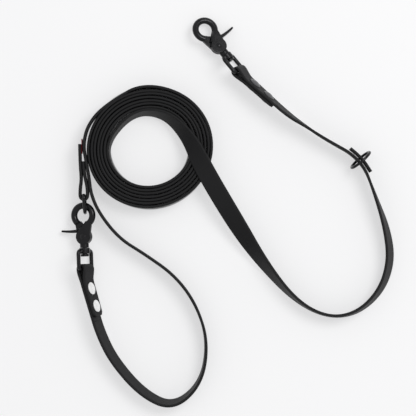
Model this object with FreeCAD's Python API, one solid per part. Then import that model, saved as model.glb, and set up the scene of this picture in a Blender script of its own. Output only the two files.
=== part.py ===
"""A training leash of flat coated webbing, lying on a table, in millimetres with +Z up.

One long strap is wound on its edge into a round coil.  From the middle of the coil it crosses over the
turns, swings round a wide open loop, passes through a round ring with a keeper strip, and ends in a
riveted fold that holds the lead snap.  From the outside of the coil it runs past a folded tab with a
D-ring, and round the handle loop to a second riveted fold, whose snap is clipped on the D-ring.

The strap's tilt is the angle of its width from upright: 0 on edge, 90 flat.  A positive tilt leans the
top edge to the left of the direction in which the route is written.
"""
import FreeCAD, Part
import math
import os

from FreeCAD import Placement, Rotation, Vector

# ---- strap -------------------------------------------------------------------------------------------
STRAP_WIDTH = 16.0
STRAP_THICKNESS = 2.4
LAYER_GAP = 0.15            # between two layers that lie on each other

# ---- coil --------------------------------------------------------------------------------------------
COIL_CENTRE = Vector(-55.8, 18.7, 0.0)
COIL_INNER_RADIUS = 33.2    # inside face of the first full turn, on average
COIL_PITCH = 2.8            # from one turn to the next
COIL_TURNS = 7
COIL_STRAY = 1.45           # how far the turns are pushed to one side, and drawn out
COIL_PUSHED = 180.0         # plan angle that the turns are pushed to
COIL_DRAWN_OUT = 18.0       # plan angle of the line that they are drawn out along
COIL_POINTS = 48

# ---- folded strap ends -------------------------------------------------------------------------------
END_LENGTH = 41.6           # bar centre to the cut end of the tail
END_BEND_LENGTH = 14.0      # the fold turns from the snap's line to the strap's within this length
EYE_LENGTH = 12.0           # the two layers meet this far from the bar
EYE_CLEARANCE = 0.35        # strap to bar, in the fold
FIRST_RIVET = 17.4          # bar centre to the first rivet
RIVET_SPACING = 15.5
RIVET_POST_RADIUS = 2.0
RIVET_CAP_RADIUS = 5.2
RIVET_CAP_HEIGHT = 1.9
RIVET_CAP_RIM = 0.5
RIVET_SOCKET_DEPTH = 0.9    # how far the post reaches into the upper cap

# ---- snap hook ---------------------------------------------------------------------------------------
BAR_RADIUS = 1.6
BAR_TO_PIVOT = 27.5
PIVOT_TO_CLAW = 18.0
FRAME_SIDE_RADIUS = 1.7
FRAME_SIDE_CLEARANCE = 0.6  # strap edge to the frame's side
FRAME_TOP = 15.4            # bar centre to the centre line of the top side
FRAME_CORNER_RADIUS = 2.6
BOSS_RADIUS = 4.6
BOSS_LENGTH = 5.0
POST_RADIUS = 2.0
SWIVEL_CLEARANCE = 0.05     # post in the boss, all round
AXIAL_CLEARANCE = 0.2       # button and neck to the boss
BUTTON_RADIUS = 3.6
BUTTON_LENGTH = 2.1
NECK_RADIUS = 3.8
DISC_RADIUS = 6.8
DISC_THICKNESS = 2.5
DISC_GAP = 0.2              # between the two discs
CLAW_RADIUS = 8.4           # centre line
CLAW_WIRE_RADIUS = 2.75
CLAW_ROOT_ANGLE = 52.0      # where the claw leaves its circle, below the level of the circle's centre
CLAW_ROOT_LENGTH = 10.0
CLAW_TIP_GAP = 0.3
LAP_RADIUS = 13.0           # within this of the pivot each half keeps to its own side
PIN_RADIUS = 1.5
PIN_CLEARANCE = 0.03
PIN_HEAD_RADIUS = 2.4
PIN_HEAD_HEIGHT = 0.8
LEVER_LENGTH = 20.4         # pivot to the tip
LEVER_RISE = 3.6            # underside of the lever above the pivot, at its root
LEVER_ROOT_THICKNESS = 3.0
LEVER_TIP_THICKNESS = 1.7
LEVER_WIDTH = 4.0           # along the pivot, from the disc's outer face inwards
LEVER_CURL = 0.9            # how far the lever's line rises towards its tip
WEB_SHARE = 0.9             # width of the web at the disc, of the disc's
SPRING_RADIUS = 3.2
SPRING_WIRE_RADIUS = 0.35
SPRING_PITCH = 0.85
SPRING_TURNS = 2
SPRING_POINTS_PER_TURN = 24
SPRING_POCKET_RADIUS = 4.3
SPRING_POCKET_DEPTH = 1.3

# ---- rings, keeper, tab and tag ----------------------------------------------------------------------
O_RING_WIRE_RADIUS = 1.2
O_RING_OFFSET = 0.5         # ring centre outside the middle of the strap and its keeper
O_RING_CLEARANCE = 0.265    # strap's and keeper's corners to the inside of the ring
O_RING_RADIUS = (math.hypot(STRAP_WIDTH / 2, STRAP_THICKNESS + LAYER_GAP / 2 + O_RING_OFFSET)
                 + O_RING_CLEARANCE + O_RING_WIRE_RADIUS)    # centre line
O_RING_LEAN = 7.5
KEEPER_SPAN = 34.0          # degrees of the strap's bend that the keeper covers
D_WIRE_RADIUS = 1.5
D_SIDE_CLEARANCE = 0.3      # strap edge to the arms of the D
D_DEPTH = 14.6              # bar centre line to the middle of the bow
D_CORNER_RADIUS = 2.2
TAG_THICKNESS = 0.7
TAG_LENGTH = 12.5
TAG_HEIGHT = 12.0

# ---- where things lie on the table -------------------------------------------------------------------
LEAD_BAR = Vector(19.0, 84.0, STRAP_WIDTH / 2 + 4.6)
LEAD_SNAP_HEADING = 129.3   # plan angle from the bar to the claw
LEAD_SNAP_SLOPE = -5.0
LEAD_STRAP_HEADING = 138.0  # plan angle in which the strap comes to the bar
LEAD_STRAP_SLOPE = -2.0
LEAD_TILT_AT_BAR = 22.0
LEAD_TILT_AT_TAIL = 15.0
LEAD_CLAW_TILT = 22.0

HANDLE_CLAW = Vector(-113.325, -38.852, STRAP_WIDTH / 2 + 2.809)     # centre of the eye, on the D-ring
HANDLE_SNAP_HEADING = 92.3
HANDLE_SNAP_SLOPE = -1.5
HANDLE_STRAP_HEADING = 106.0
HANDLE_STRAP_SLOPE = 1.0
HANDLE_TILT_AT_BAR = 29.0
HANDLE_TILT_AT_TAIL = 25.0
HANDLE_CLAW_TILT = -22.0

D_BAR = Vector(-112.7, -21.9, 0.0)
D_HEADING = -86.1
TAG_START = Vector(-114.45, 13.7, 0.0)

# Strap centre where it passes through a ring that stands on the table.
RAISED = STRAP_WIDTH / 2 + D_SIDE_CLEARANCE + 2 * D_WIRE_RADIUS
ON_EDGE = STRAP_WIDTH / 2   # strap centre where it stands on its edge on the table

# From the inside of the coil to the lead snap: x, y, height of the strap's centre, tilt.  A cord's points
# stay as they are when another size changes, apart from its height over the table.
LEAD_ROUTE = [
    (-84.8, 33.5, ON_EDGE + 0.15, 9.0),
    (-72.8, 49.0, ON_EDGE + 0.2, 11.0),
    (-44.8, 49.0, ON_EDGE + 2.5, 24.0),
    (-23.8, 28.5, ON_EDGE + 8, 44.0),
    (-11.8, 2.5, ON_EDGE + 10.8, 86.0),
    (13.2, -40.0, ON_EDGE + 7.5, 76.0),
    (38.2, -78.5, ON_EDGE + 2.5, 32.0),
    (67.2, -112.0, ON_EDGE + 0.3, 7.0),
    (95.2, -126.0, ON_EDGE + 0.1, 2.0),
    (120.2, -122.0, ON_EDGE + 0.2, 9.0),
    (140.2, -103.0, ON_EDGE + 0.1, 19.0),
    (148.5, -77.5, ON_EDGE + 0.1, 24.0),
    (145.2, -51.5, ON_EDGE + 1, 20.0),
    (135.2, -22.5, RAISED, 5.0),
    (123.1, 8.9, RAISED, 0.0),
    (91.6, 26.3, RAISED, 0.0),
    (74.2, 38.0, ON_EDGE + 4.2, 4.0),
]
RING_CORNER = 14            # the point of LEAD_ROUTE that the ring stands at

# From the outside of the coil to the handle's snap.
HANDLE_ROUTE = [
    (-75.1, 66.4, ON_EDGE + 0.1, 0.0),
    (-95.1, 54.9, ON_EDGE + 0.2, 0.0),
    (-109.3, 38.5, ON_EDGE + 1.5, 0.0),
    (-113.4, 21.5, RAISED, 0.0),
    (-111.0, 8.0, RAISED, 0.0),
    (-108.3, -7.5, RAISED, 0.0),
    (-106.8, -20.5, RAISED, 0.0),
    (-99.8, -37.0, ON_EDGE + 2.2, 0.0),
    (-82.8, -58.5, ON_EDGE + 0.5, 0.0),
    (-60.8, -72.0, ON_EDGE + 0.1, 0.0),
    (-34.8, -90.5, ON_EDGE + 0.1, 0.0),
    (-16.8, -115.5, ON_EDGE + 0.1, 0.0),
    (-7.3, -146.5, ON_EDGE + 0.2, 2.0),
    (-12.8, -181.5, ON_EDGE + 0.2, 5.0),
    (-36.8, -202.5, ON_EDGE + 0.1, 16.0),
    (-62.8, -190.5, ON_EDGE + 0.1, 22.0),
    (-87.3, -162.5, ON_EDGE + 0.4, 24.0),
]

# The tab's strip, from the cut end beside the tag, round the D-ring's bar, to the cut end inside.
TAB_ROUTE = [
    (-116.2, 21.7), (-115.9, 4.5), (-114.7, -7.5), (-116.0, -17.0), (-115.8, -25.2),
    (-109.6, -25.2), (-109.7, -15.5), (-111.8, -6.5), (-112.8, 0.5), (-113.2, 7.1),
]

UP = Vector(0, 0, 1)


# ---- general helpers ---------------------------------------------------------------------------------
def heading(plan_angle, slope=0.0):
    """The unit vector with this plan angle and this slope, both in degrees."""
    turn, rise = math.radians(plan_angle), math.radians(slope)
    return Vector(math.cos(turn) * math.cos(rise), math.sin(turn) * math.cos(rise), math.sin(rise))


def unit(vector):
    return Vector(vector) * (1.0 / vector.Length)


def lean(direction, tilt):
    """The strap's width direction, square to its own, tilted from upright to the left."""
    left = unit(UP.cross(direction))
    angle = math.radians(tilt)
    width = UP * math.cos(angle) + left * math.sin(angle)
    return unit(width - direction * width.dot(direction))


def turned(vector, axis, degrees):
    return Rotation(axis, degrees).multVec(vector)


def axes_placement(origin, x_axis, y_axis):
    """The placement that takes local x and y to these two directions."""
    z_axis = x_axis.cross(y_axis)
    matrix = FreeCAD.Matrix(x_axis.x, y_axis.x, z_axis.x, origin.x,
                            x_axis.y, y_axis.y, z_axis.y, origin.y,
                            x_axis.z, y_axis.z, z_axis.z, origin.z,
                            0, 0, 0, 1)
    return Placement(matrix)


def placed(shape, placement):
    copy = shape.copy()
    copy.Placement = placement.multiply(copy.Placement)
    return copy


def cylinder(radius, start, end):
    """A solid cylinder from one point to another."""
    along = end - start
    return Part.makeCylinder(radius, along.Length, start, along)


def wire_sweep(edges, radius):
    """A round wire of this radius along the edges."""
    path = Part.Wire(edges)
    first = path.OrderedEdges[0]
    start = path.OrderedVertexes[0].Point
    parameter = first.getParameterByLength(0.0)
    tangent = first.tangentAt(parameter)
    section = Part.Wire([Part.makeCircle(radius, start, tangent)])
    return path.makePipeShell([section], True, False)


# ---- strap helpers -----------------------------------------------------------------------------------
def rounded_path(corners):
    """Straight runs joined by tangent arcs through (point, tilt) corners.

    Each arc starts 0.45 of the shorter run before its corner.  Gives the stations as (point, direction,
    tilt), closer together on the arcs, and the list of (centre, radius) of the arcs.
    """
    points = [point for point, tilt in corners]
    legs = []                                   # (start, end, arc centre or None) of each stretch
    arcs = []
    cursor = points[0]
    for before, corner, after in zip(points, points[1:], points[2:]):
        inward, outward = unit(before - corner), unit(after - corner)
        reach = 0.45 * min((before - corner).Length, (after - corner).Length)
        half_turn = (math.pi - inward.getAngle(outward)) / 2
        radius = reach / math.tan(half_turn)
        centre = corner + unit(inward + outward) * math.hypot(reach, radius)
        legs.append((cursor, corner + inward * reach, None))
        legs.append((corner + inward * reach, corner + outward * reach, centre))
        arcs.append((centre, radius))
        cursor = corner + outward * reach
    legs.append((cursor, points[-1], None))

    stations = []
    travelled = 0.0
    marks = [0.0]                               # distance travelled at each corner
    for start, end, centre in legs:
        if centre is None:
            direction = unit(end - start)
            length = (end - start).Length
            steps = max(1, math.ceil(length / 9.0))
            for step in range(steps):
                share = step / steps
                stations.append((start + (end - start) * share, direction, travelled + length * share))
        else:
            first, last = start - centre, end - centre
            sweep = first.getAngle(last)
            axis = unit(first.cross(last))
            length = sweep * first.Length
            steps = max(2, math.ceil(math.degrees(sweep) / 7.0))
            for step in range(steps):
                spoke = turned(first, axis, math.degrees(sweep) * step / steps)
                stations.append((centre + spoke, unit(axis.cross(spoke)), travelled + length * step / steps))
            marks.append(travelled + length / 2)
        travelled += length
    marks.append(travelled)
    stations.append((points[-1], unit(points[-1] - points[-2]), travelled))

    tilts = [tilt for point, tilt in corners]
    path = []
    for point, direction, distance in stations:
        index = max(i for i in range(len(marks) - 1) if marks[i] <= distance + 1e-9)
        share = (distance - marks[index]) / (marks[index + 1] - marks[index])
        path.append((point, direction, tilts[index] + (tilts[index + 1] - tilts[index]) * share))
    return path, arcs, travelled


def strap_section(centre, width_direction, face_direction):
    """The strap's cross-section as a closed wire."""
    half_width = width_direction * (STRAP_WIDTH / 2)
    half_face = face_direction * (STRAP_THICKNESS / 2)
    corners = [centre + half_width + half_face, centre - half_width + half_face,
               centre - half_width - half_face, centre + half_width - half_face]
    return Part.makePolygon(corners + corners[:1])


def strap_along(path):
    """The strap as one solid through the (point, direction, tilt) stations."""
    sections = []
    for point, direction, tilt in path:
        width = lean(direction, tilt)
        sections.append(strap_section(point, width, unit(direction.cross(width))))
    return Part.makeLoft(sections, True, True)


# ---- folded strap ends -------------------------------------------------------------------------------
class StrapEnd:
    """A strap's end, folded back round a snap's bar and held by two rivets.

    tail_side is +1 where the tail lies on the upper face of the tilted strap, -1 where it lies below.
    """

    def __init__(self, bar, snap_heading, snap_slope, strap_heading, strap_slope,
                 tilt_at_bar, tilt_at_tail, tail_side):
        self.bar = bar
        self.snap_direction = heading(snap_heading, snap_slope)
        self.headings = (snap_heading, strap_heading)
        self.slopes = (snap_slope, strap_slope)
        self.tilts = (tilt_at_bar, tilt_at_tail)
        self.tail_side = tail_side
        self.half_stack = (STRAP_THICKNESS + LAYER_GAP) / 2

    def frame_at(self, distance):
        """Middle of the two layers at this distance from the bar, with the three directions there."""
        step = 1.0
        point, travelled = Vector(self.bar), 0.0
        while travelled < distance - 1e-9:
            stride = min(step, distance - travelled)
            point = point - self.direction_at(travelled + stride / 2) * stride
            travelled += stride
        direction = self.direction_at(distance)
        share = distance / END_LENGTH
        width = lean(direction, self.tilts[0] + (self.tilts[1] - self.tilts[0]) * share)
        return point, direction, width, unit(direction.cross(width))

    def direction_at(self, distance):
        """Towards the snap, turning from the strap's line to the snap's near the bar."""
        share = min(1.0, distance / END_BEND_LENGTH)
        return heading(self.headings[0] + (self.headings[1] - self.headings[0]) * share,
                       self.slopes[0] + (self.slopes[1] - self.slopes[0]) * share)

    def layer_offset(self, distance):
        """Half the spacing of the layers' middles, which grows into the eye round the bar."""
        eye = BAR_RADIUS + EYE_CLEARANCE + STRAP_THICKNESS / 2
        share = max(0.0, 1.0 - distance / EYE_LENGTH)
        smooth = share * share * (3 - 2 * share)
        return self.half_stack + (eye - self.half_stack) * smooth

    def strip_section(self, distance, side):
        point, direction, width, face = self.frame_at(distance)
        centre = point + face * (side * self.layer_offset(distance))
        return strap_section(centre, width, face * side)

    def solid(self):
        """The folded strip, with the rivet holes."""
        stations = [END_LENGTH - (END_LENGTH - EYE_LENGTH) * i / 6 for i in range(6)]
        stations += [EYE_LENGTH * (1 - i / 6) for i in range(6)]
        main_side = -self.tail_side
        sections = [self.strip_section(self.main_length(), main_side)]
        sections += [self.strip_section(distance, main_side) for distance in stations]
        bar, direction, width, face = self.frame_at(0.0)
        eye = self.layer_offset(0.0)
        for step in range(13):
            spoke = turned(face * main_side, width, main_side * 15.0 * step)
            sections.append(strap_section(bar + spoke * eye, width, spoke))
        sections += [self.strip_section(distance, self.tail_side) for distance in reversed(stations)]
        strip = Part.makeLoft(sections, True, True)
        for distance in self.rivet_distances():
            point, direction, width, face = self.frame_at(distance)
            reach = face * (3 * STRAP_THICKNESS)
            strip = strip.cut(cylinder(RIVET_POST_RADIUS, point - reach, point + reach))
        return strip

    def main_length(self):
        """Where the main layer meets the free strap, past the tail's cut end."""
        return END_LENGTH + 3.0

    def route_end(self):
        """Centre of the main layer's last section, and the direction towards the snap there."""
        point, direction, width, face = self.frame_at(self.main_length())
        return point - face * (self.tail_side * self.half_stack), direction

    def end_tilt(self):
        share = self.main_length() / END_LENGTH
        return self.tilts[0] + (self.tilts[1] - self.tilts[0]) * share

    def rivet_distances(self):
        return [FIRST_RIVET, FIRST_RIVET + RIVET_SPACING]

    def rivets(self):
        """The lower caps with their posts, and the upper caps that are pressed on."""
        outer = self.half_stack + STRAP_THICKNESS / 2
        posts, caps = [], []
        for distance in self.rivet_distances():
            point, direction, width, face = self.frame_at(distance)
            below = axes_placement(point - face * outer, direction, face.cross(direction) * -1)
            above = axes_placement(point + face * outer, direction, face.cross(direction))
            posts.append(placed(capped_post(2 * outer + RIVET_SOCKET_DEPTH), below))
            caps.append(placed(socket_cap(), above))
        return Part.makeCompound(posts), Part.makeCompound(caps)


def spun(points, dome=None):
    """A solid of revolution about Z from (radius, height) points, closed back to the first.

    dome is the (start, middle, end) of an arc that comes before the points.
    """
    places = [Vector(radius, 0, height) for radius, height in points]
    edges = []
    if dome:
        arc = [Vector(radius, 0, height) for radius, height in dome]
        edges.append(Part.Arc(*arc).toShape())
        places = [arc[2]] + places + [arc[0]]
    else:
        places = places + places[:1]
    edges += [Part.LineSegment(a, b).toShape() for a, b in zip(places, places[1:])]
    return Part.Face(Part.Wire(edges)).revolve(Vector(), UP, 360)


def dome_arc(rim_radius, rim_height, top):
    """The arc of a dome from its rim to the axis."""
    rise = top - rim_height
    sphere_radius = (rim_radius ** 2 + rise ** 2) / (2 * rise)
    half = math.asin(rim_radius / sphere_radius) / 2
    middle = (sphere_radius * math.sin(half), top - sphere_radius * (1 - math.cos(half)))
    return (rim_radius, rim_height), middle, (0.0, top)


def capped_post(length):
    """The lower half of a rivet: a domed cap above the origin and its post below."""
    dome = dome_arc(RIVET_CAP_RADIUS, RIVET_CAP_RIM, RIVET_CAP_HEIGHT)
    return spun([(0, -length), (RIVET_POST_RADIUS, -length), (RIVET_POST_RADIUS, 0),
                 (RIVET_CAP_RADIUS, 0)], dome)


def socket_cap():
    """The upper half of a rivet: a domed cap with the socket for the post."""
    dome = dome_arc(RIVET_CAP_RADIUS, RIVET_CAP_RIM, RIVET_CAP_HEIGHT)
    return spun([(0, RIVET_SOCKET_DEPTH), (RIVET_POST_RADIUS, RIVET_SOCKET_DEPTH),
                 (RIVET_POST_RADIUS, 0), (RIVET_CAP_RADIUS, 0)], dome)


# ---- snap hook, with the bar's centre at the origin and the claw towards +Y --------------------------
def snap_frame():
    """The rectangular frame that the strap folds round, with the swivel's boss."""
    side = STRAP_WIDTH / 2 + FRAME_SIDE_CLEARANCE + FRAME_SIDE_RADIUS
    outline = rounded_rectangle(side, 0.0, FRAME_TOP, FRAME_CORNER_RADIUS)
    frame = wire_sweep(outline, FRAME_SIDE_RADIUS)
    boss_start = FRAME_TOP - BOSS_LENGTH / 2
    boss = cylinder(BOSS_RADIUS, Vector(0, boss_start, 0), Vector(0, boss_start + BOSS_LENGTH, 0))
    boss = boss.makeFillet(0.5, [edge for edge in boss.Edges if edge.Length > 5 and edge.isClosed()])
    bore = cylinder(POST_RADIUS + SWIVEL_CLEARANCE, Vector(0, boss_start - 2, 0),
                    Vector(0, boss_start + BOSS_LENGTH + 2, 0))
    bar = cylinder(BAR_RADIUS, Vector(FRAME_CORNER_RADIUS - side, 0, 0),
                   Vector(side - FRAME_CORNER_RADIUS, 0, 0))
    return frame.fuse([boss, bar]).cut(bore).removeSplitter()


def rounded_rectangle(half_width, bottom, top, radius):
    """A closed rounded rectangle in the XY plane, as edges in order from the middle of the bottom."""
    edges = []
    corner = radius * (1 - math.sqrt(0.5))
    quarters = [((half_width, bottom), (-1, 0), (0, 1)), ((half_width, top), (0, -1), (-1, 0)),
                ((-half_width, top), (1, 0), (0, -1)), ((-half_width, bottom), (0, 1), (1, 0))]
    cursor = Vector(0, bottom, 0)
    for (x, y), inward, outward in quarters:
        start = Vector(x + inward[0] * radius, y + inward[1] * radius, 0)
        middle = Vector(x + (inward[0] + outward[0]) * corner, y + (inward[1] + outward[1]) * corner, 0)
        end = Vector(x + outward[0] * radius, y + outward[1] * radius, 0)
        edges.append(Part.LineSegment(cursor, start).toShape())
        edges.append(Part.Arc(start, middle, end).toShape())
        cursor = end
    edges.append(Part.LineSegment(cursor, Vector(0, bottom, 0)).toShape())
    return edges


def boss_ends():
    return FRAME_TOP - BOSS_LENGTH / 2, FRAME_TOP + BOSS_LENGTH / 2


def swivel_post():
    """The post with its button head below the boss, pressed into the hook's neck."""
    low, high = boss_ends()
    button_top = low - AXIAL_CLEARANCE
    button = cylinder(BUTTON_RADIUS, Vector(0, button_top - BUTTON_LENGTH, 0), Vector(0, button_top, 0))
    button = button.makeFillet(0.6, [edge for edge in button.Edges if edge.Length > 5 and edge.isClosed()])
    shaft = cylinder(POST_RADIUS, Vector(0, button_top - 0.5, 0), Vector(0, post_end(), 0))
    return button.fuse(shaft).removeSplitter()


def post_end():
    """The post stops just below the discs."""
    return BAR_TO_PIVOT - DISC_RADIUS - 3 * DISC_GAP


def claw_half(side):
    """One half of the claw's round wire, from its root near the pivot to the tip at the top."""
    root = math.radians(-CLAW_ROOT_ANGLE)
    claw_y = BAR_TO_PIVOT + PIVOT_TO_CLAW
    tip = math.pi / 2 - math.asin(CLAW_TIP_GAP / 2 / CLAW_RADIUS)
    angles = (root, (root + tip) / 2, tip)
    start, middle, end = [Vector(side * CLAW_RADIUS * math.cos(a), claw_y + CLAW_RADIUS * math.sin(a), 0)
                          for a in angles]
    tangent = Vector(side * -math.sin(root), math.cos(root), 0)
    foot = start - tangent * CLAW_ROOT_LENGTH
    return wire_sweep([Part.LineSegment(foot, start).toShape(), Part.Arc(start, middle, end).toShape()],
                      CLAW_WIRE_RADIUS)


def claw_web(side, level):
    """The flat web from a disc to the root of its claw half: the hull of the two round ends."""
    root = math.radians(-CLAW_ROOT_ANGLE)
    pivot = Vector(0, BAR_TO_PIVOT, 0)
    foot = Vector(side * CLAW_RADIUS * math.cos(root), BAR_TO_PIVOT + PIVOT_TO_CLAW + CLAW_RADIUS * math.sin(root), 0)
    wide, narrow = WEB_SHARE * DISC_RADIUS, CLAW_WIRE_RADIUS
    along = foot - pivot
    swing = math.degrees(math.acos((wide - narrow) / along.Length))
    way = unit(along)
    left, right = turned(way, UP, swing), turned(way, UP, -swing)
    corners = [pivot + left * wide, foot + left * narrow, foot + right * narrow, pivot + right * wide]
    web = Part.Face(Part.makePolygon(corners + corners[:1])).extrude(Vector(0, 0, DISC_THICKNESS))
    web.translate(Vector(0, 0, DISC_GAP / 2 if level > 0 else -DISC_GAP / 2 - DISC_THICKNESS))
    return web


def disc(level):
    """A disc at the pivot, level +1 above the parting plane and -1 below, with its spring pocket."""
    pivot = Vector(0, BAR_TO_PIVOT, 0)
    inner = pivot + Vector(0, 0, level * DISC_GAP / 2)
    outer = inner + Vector(0, 0, level * DISC_THICKNESS)
    body = cylinder(DISC_RADIUS, inner, outer)
    rim = [edge for edge in body.Edges if edge.isClosed() and abs(edge.BoundBox.ZMin - outer.z) < 0.01]
    body = body.makeFillet(0.6, rim)
    pocket = cylinder(SPRING_POCKET_RADIUS, inner, inner + Vector(0, 0, level * SPRING_POCKET_DEPTH))
    return body, pocket


def lap_space(level):
    """The room of the other half near the pivot, for a half on this level."""
    pivot = Vector(0, BAR_TO_PIVOT, 0)
    start = pivot + Vector(0, 0, level * DISC_GAP / 2)
    return cylinder(LAP_RADIUS, start, start - Vector(0, 0, level * 3 * DISC_THICKNESS))


def snap_hook():
    """The fixed half: claw half, lower disc and neck."""
    body, pocket = disc(-1)
    claw = claw_half(-1).cut(lap_space(-1))
    low, high = boss_ends()
    neck_start = high + AXIAL_CLEARANCE
    neck = cylinder(NECK_RADIUS, Vector(0, neck_start, 0), Vector(0, BAR_TO_PIVOT - PIN_HEAD_RADIUS, 0))
    pivot = Vector(0, BAR_TO_PIVOT, 0)
    web = claw_web(-1, -1)
    disc_room = cylinder(DISC_RADIUS + 2 * DISC_GAP, pivot - Vector(0, 0, DISC_GAP / 2),
                         pivot + Vector(0, 0, 3 * DISC_THICKNESS))
    under_room = cylinder(DISC_RADIUS + 2 * DISC_GAP, pivot - Vector(0, 0, DISC_GAP / 2 + DISC_THICKNESS),
                          pivot - Vector(0, 0, 3 * DISC_THICKNESS))
    neck = neck.cut(disc_room).cut(under_room)
    hook = body.fuse([claw, neck, web])
    hole = cylinder(POST_RADIUS, Vector(0, neck_start - 1, 0), Vector(0, post_end(), 0))
    pin = cylinder(PIN_RADIUS, pivot - Vector(0, 0, 9), pivot + Vector(0, 0, 9))
    return hook.cut([pocket, hole, pin]).removeSplitter()


def snap_jaw():
    """The moving half: claw half, upper disc and thumb lever."""
    body, pocket = disc(1)
    claw = claw_half(1).cut(lap_space(1))
    pivot = Vector(0, BAR_TO_PIVOT, 0)
    inner_face = DISC_GAP / 2
    start = Vector(DISC_RADIUS / 2, BAR_TO_PIVOT + LEVER_RISE, 0)
    end = Vector(LEVER_LENGTH - LEVER_TIP_THICKNESS / 2, BAR_TO_PIVOT + LEVER_RISE + LEVER_CURL, 0)
    under_middle = (start + end) * 0.5 - Vector(0, LEVER_CURL / 2, 0)
    upper_end = end + Vector(0, LEVER_TIP_THICKNESS, 0)
    upper_start = start + Vector(0, LEVER_ROOT_THICKNESS, 0)
    upper_middle = (upper_start + upper_end) * 0.5 - Vector(0, LEVER_CURL / 2, 0)
    nose = (end + upper_end) * 0.5 + Vector(LEVER_TIP_THICKNESS / 2, 0, 0)
    outline = [Part.Arc(start, under_middle, end), Part.Arc(end, nose, upper_end),
               Part.Arc(upper_end, upper_middle, upper_start), Part.LineSegment(upper_start, start)]
    profile = Part.Face(Part.Wire([side.toShape() for side in outline]))
    lever = profile.extrude(Vector(0, 0, LEVER_WIDTH))
    lever.translate(Vector(0, 0, inner_face + DISC_THICKNESS - LEVER_WIDTH))
    reach = max(DISC_RADIUS, (upper_start - pivot).Length) + 2 * DISC_GAP
    lever = lever.cut(cylinder(reach, pivot + Vector(0, 0, inner_face), pivot - Vector(0, 0, 3 * DISC_THICKNESS)))
    jaw = body.fuse([claw, lever, claw_web(1, 1)])
    pin = cylinder(PIN_RADIUS + PIN_CLEARANCE, pivot - Vector(0, 0, 9), pivot + Vector(0, 0, 9))
    return jaw.cut([pocket, pin]).removeSplitter()


def pivot_pin():
    """The rivet through both discs, with a domed head at each end."""
    seat = DISC_GAP / 2 + DISC_THICKNESS
    high = seat + PIN_CLEARANCE
    head = dome_arc(PIN_HEAD_RADIUS, high + PIN_CLEARANCE, high + PIN_HEAD_HEIGHT)
    half = [(0, 0), (PIN_RADIUS, 0), (PIN_RADIUS, high), (PIN_HEAD_RADIUS, high)]
    upper = spun(half, head)
    base = dome_arc(PIN_HEAD_RADIUS, seat + PIN_CLEARANCE, seat + PIN_HEAD_HEIGHT)
    half = [(0, 0), (PIN_RADIUS, 0), (PIN_RADIUS, seat), (PIN_HEAD_RADIUS, seat)]
    lower = spun(half, base)
    lower.rotate(Vector(), Vector(1, 0, 0), 180)
    pin = upper.fuse(lower).removeSplitter()
    pin.translate(Vector(0, BAR_TO_PIVOT, 0))
    return pin


def jaw_spring():
    """The torsion spring between the discs, round the pivot."""
    rise = SPRING_PITCH * SPRING_TURNS
    count = SPRING_TURNS * SPRING_POINTS_PER_TURN
    points = []
    for step in range(count + 1):
        turn = 360.0 * step / SPRING_POINTS_PER_TURN
        points.append(heading(turn) * SPRING_RADIUS + UP * (rise * step / count))
    curve = Part.BSplineCurve()
    curve.interpolate(points)
    way = curve.tangent(curve.FirstParameter)[0]
    section = Part.Wire([Part.makeCircle(SPRING_WIRE_RADIUS, points[0], way)])
    spring = Part.Wire([curve.toShape()]).makePipeShell([section], True, True)
    spring.translate(Vector(0, BAR_TO_PIVOT, -rise / 2))
    return spring


# ---- rings, keeper, tab and tag ----------------------------------------------------------------------
def o_ring(ring_arc, ring_direction):
    """The round ring that stands across the strap at its bend, with the strap and keeper inside."""
    centre, radius = ring_arc
    spoke = ring_spoke(ring_direction)
    out = radius + (STRAP_THICKNESS + LAYER_GAP) / 2 + O_RING_OFFSET
    ring = Part.makeTorus(O_RING_RADIUS, O_RING_WIRE_RADIUS, Vector(), ring_direction)
    ring = placed(ring, Placement(Vector(), Rotation(spoke, O_RING_LEAN)))
    ring.translate(centre + spoke * out)
    return ring


def ring_spoke(ring_direction):
    """From the centre of the bend to the ring."""
    return unit(ring_direction.cross(UP))


def ring_keeper(ring_arc, ring_direction):
    """The short strip that lies along the outside of the bend, through the ring."""
    centre, radius = ring_arc
    inner = radius + STRAP_THICKNESS / 2 + LAYER_GAP
    spoke = ring_spoke(ring_direction)
    base = centre - UP * (STRAP_WIDTH / 2)
    start = math.degrees(math.atan2(spoke.y, spoke.x)) - KEEPER_SPAN / 2
    band = Part.makeCylinder(inner + STRAP_THICKNESS, STRAP_WIDTH, base, UP, KEEPER_SPAN)
    band = band.cut(Part.makeCylinder(inner, STRAP_WIDTH, base, UP, KEEPER_SPAN))
    band.rotate(base, UP, start)
    return band


def d_ring():
    """The D-ring: an upright bar, two arms and a round bow."""
    direction = heading(D_HEADING)
    half = STRAP_WIDTH / 2 + D_SIDE_CLEARANCE + D_WIRE_RADIUS
    arm = D_DEPTH - half
    corner = D_CORNER_RADIUS
    inset = corner * (1 - math.sqrt(0.5))
    edges = []
    edges.append(Part.LineSegment(Vector(0, 0, 0), Vector(half - corner, 0, 0)).toShape())
    edges.append(Part.Arc(Vector(half - corner, 0, 0), Vector(half - inset, inset, 0),
                          Vector(half, corner, 0)).toShape())
    edges.append(Part.LineSegment(Vector(half, corner, 0), Vector(half, arm, 0)).toShape())
    edges.append(Part.Arc(Vector(half, arm, 0), Vector(0, D_DEPTH, 0), Vector(-half, arm, 0)).toShape())
    edges.append(Part.LineSegment(Vector(-half, arm, 0), Vector(-half, corner, 0)).toShape())
    edges.append(Part.Arc(Vector(-half, corner, 0), Vector(inset - half, inset, 0),
                          Vector(corner - half, 0, 0)).toShape())
    edges.append(Part.LineSegment(Vector(corner - half, 0, 0), Vector(0, 0, 0)).toShape())
    ring = wire_sweep(edges, D_WIRE_RADIUS)
    return placed(ring, axes_placement(D_BAR + UP * RAISED, UP, direction))


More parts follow.
